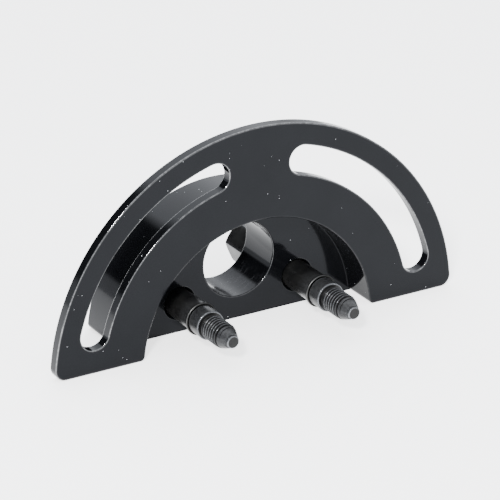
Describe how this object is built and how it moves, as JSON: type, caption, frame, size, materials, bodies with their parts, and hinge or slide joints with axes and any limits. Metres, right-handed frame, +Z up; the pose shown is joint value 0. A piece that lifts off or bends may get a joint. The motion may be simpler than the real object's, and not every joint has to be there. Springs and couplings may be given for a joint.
{
  "type": "sprocket holding tool",
  "caption": "Half-moon sprocket holding tool: slotted flange, half-round cup hub with a through bore, and captive hex-head screws that slide and turn.",
  "frame": {"origin": "on the flat base, in the middle plane of the tool, halfway between the screw tips and the screw heads", "axes": "+X to the right along the flat base, +Y from the screw tips to the hex heads, +Z up from the base to the crown of the half moon"},
  "size_m": [0.1394, 0.0668, 0.067],
  "materials": {
    "black_oxide_flange": "gloss black coating with fine dust specks",
    "black_oxide_hub": "gloss black coating over turned steel",
    "screw_black": "satin black phosphate, worn bright on edges and thread crests",
    "spring_steel": "blackened spring wire, rubbed bright"
  },
  "bodies": {
    "tool_body": {"face_plate": "black_oxide_flange", "hub_block": "black_oxide_hub"},
    "right_ring": {"right_snap_ring": "spring_steel"},
    "right_screw": {"right_screw": "screw_black"},
    "left_ring": {"left_snap_ring": "spring_steel"},
    "left_screw": {"left_screw": "screw_black"}
  },
  "joints": [
    {"name": "right_screw_slide", "type": "slide", "parent": "tool_body", "child": "right_ring", "axis": [0, 1, 0], "range_m": [0, 0.0134]},
    {"name": "right_screw_spin", "type": "hinge", "parent": "right_ring", "child": "right_screw", "pos_m": [0.0208, 0, 0.0095], "axis": [0, 1, 0], "continuous": true},
    {"name": "left_screw_slide", "type": "slide", "parent": "tool_body", "child": "left_ring", "axis": [0, 1, 0], "range_m": [-0.001, 0.0124]},
    {"name": "left_screw_spin", "type": "hinge", "parent": "left_ring", "child": "left_screw", "pos_m": [-0.0208, 0, 0.0095], "axis": [0, 1, 0], "continuous": true}
  ]
}
